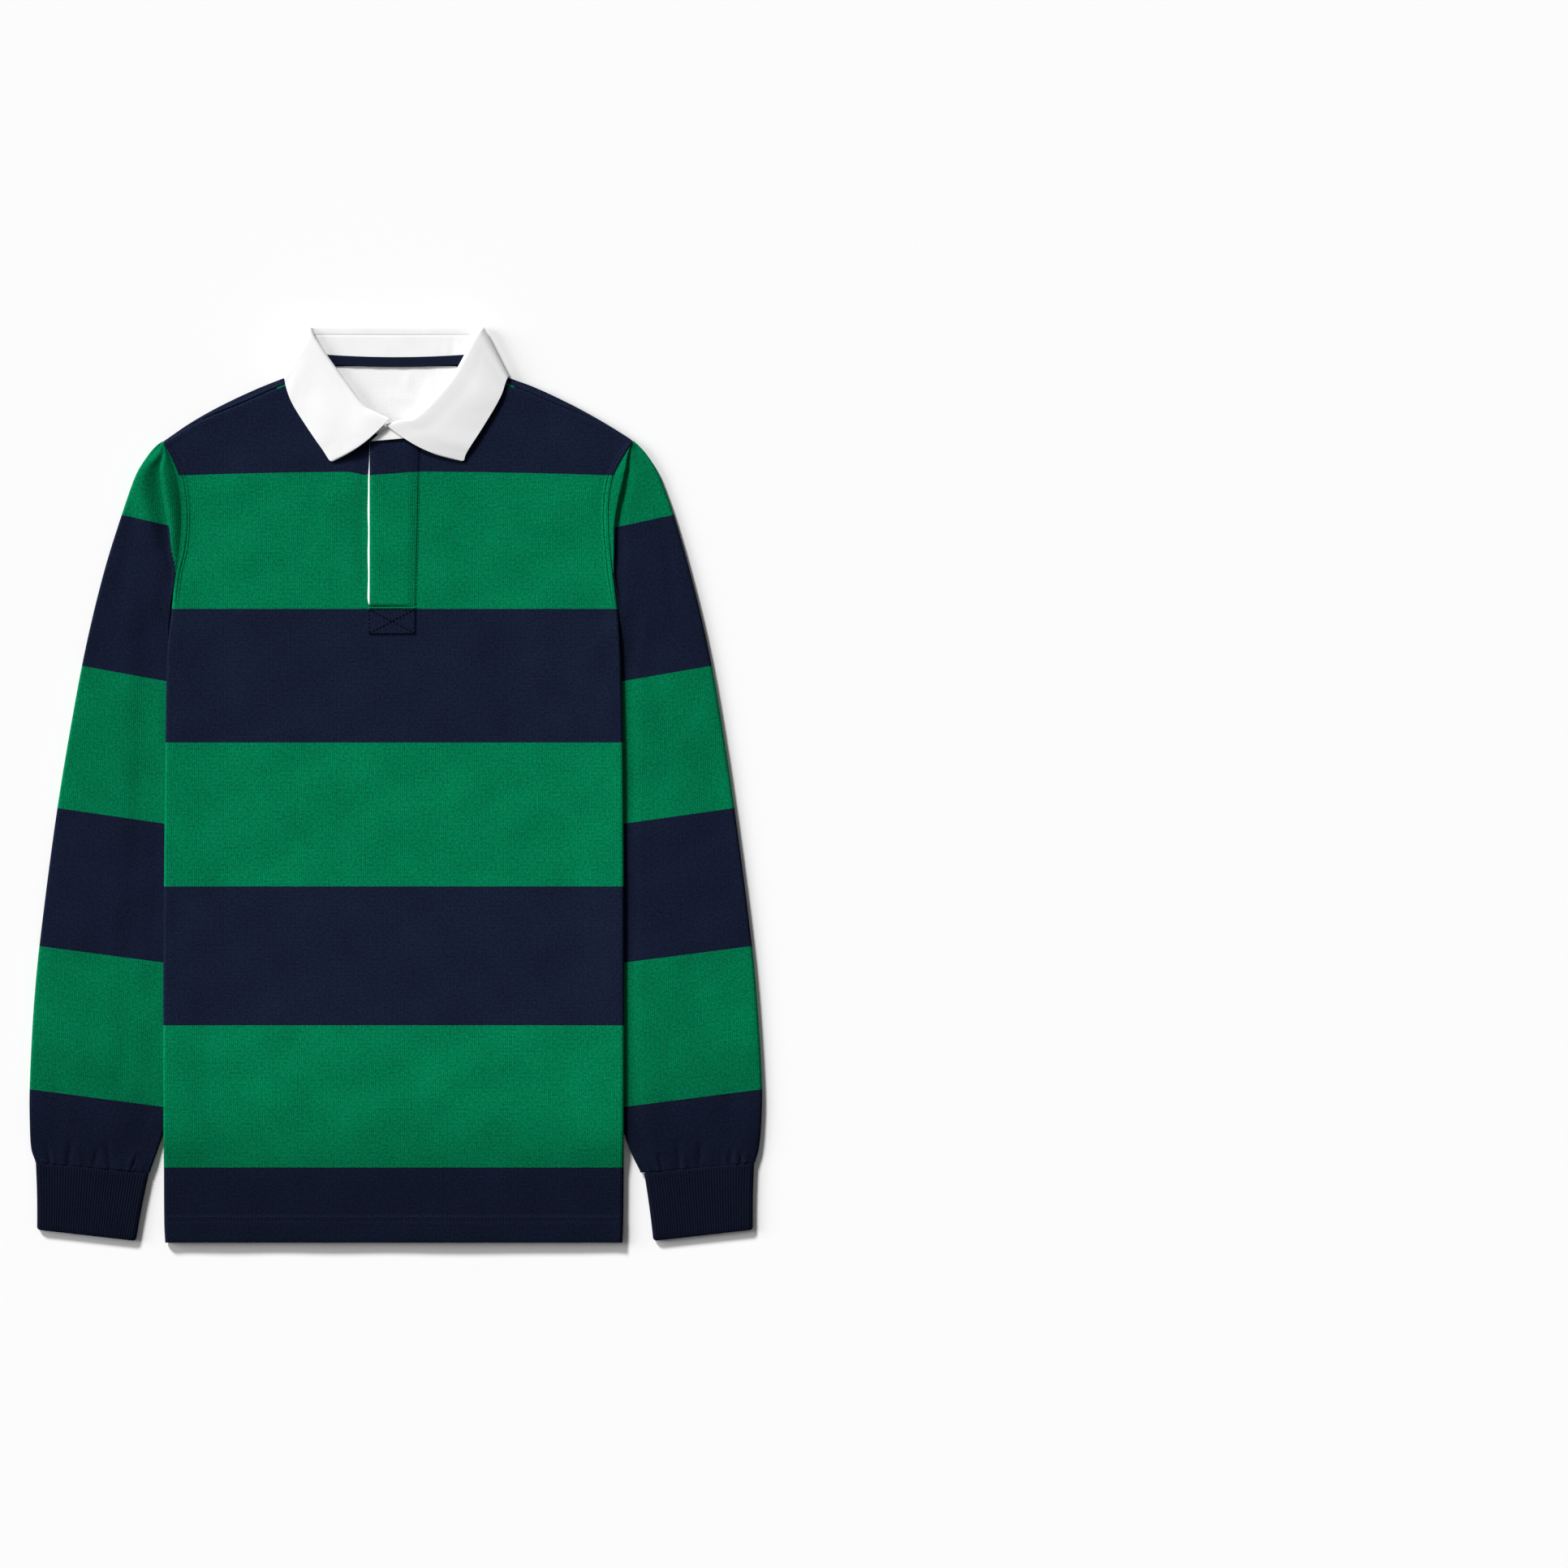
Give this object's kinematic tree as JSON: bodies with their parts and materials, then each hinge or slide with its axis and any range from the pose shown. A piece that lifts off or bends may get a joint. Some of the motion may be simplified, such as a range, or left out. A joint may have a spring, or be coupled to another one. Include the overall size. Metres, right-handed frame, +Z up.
{
  "type": "rugby shirt",
  "caption": "Long-sleeved rugby shirt laid flat, front up: hooped jersey, turned-down twill collar open at the neck, buttoned placket and rib-knit cuffs.",
  "frame": {"origin": "on the surface that the shirt lies on, under the middle of its outline", "axes": "+X to the right as seen from above, which is the wearer's left; +Y from the hem to the collar; +Z up, out of the shirt's front"},
  "size_m": [0.6316, 0.7905, 0.0146],
  "materials": {
    "hooped_jersey": "heavy cotton jersey in green and navy hoops, matt",
    "navy_rib": "ribbed cotton knit, matt",
    "white_twill": "pressed cotton twill, matt",
    "navy_tape": "woven cotton tape, matt",
    "white_jersey": "plain cotton jersey, matt"
  },
  "bodies": {
    "root": {"body_back": "hooped_jersey", "body_front": "hooped_jersey", "sleeve_left": "hooped_jersey", "sleeve_right": "hooped_jersey", "cuff_left": "navy_rib", "cuff_right": "navy_rib", "collar_stand": "white_twill", "collar_fall": "white_twill", "placket_under": "white_twill", "placket": "hooped_jersey", "neck_tape": "navy_tape", "neck_patch": "white_jersey"}
  },
  "joints": []
}
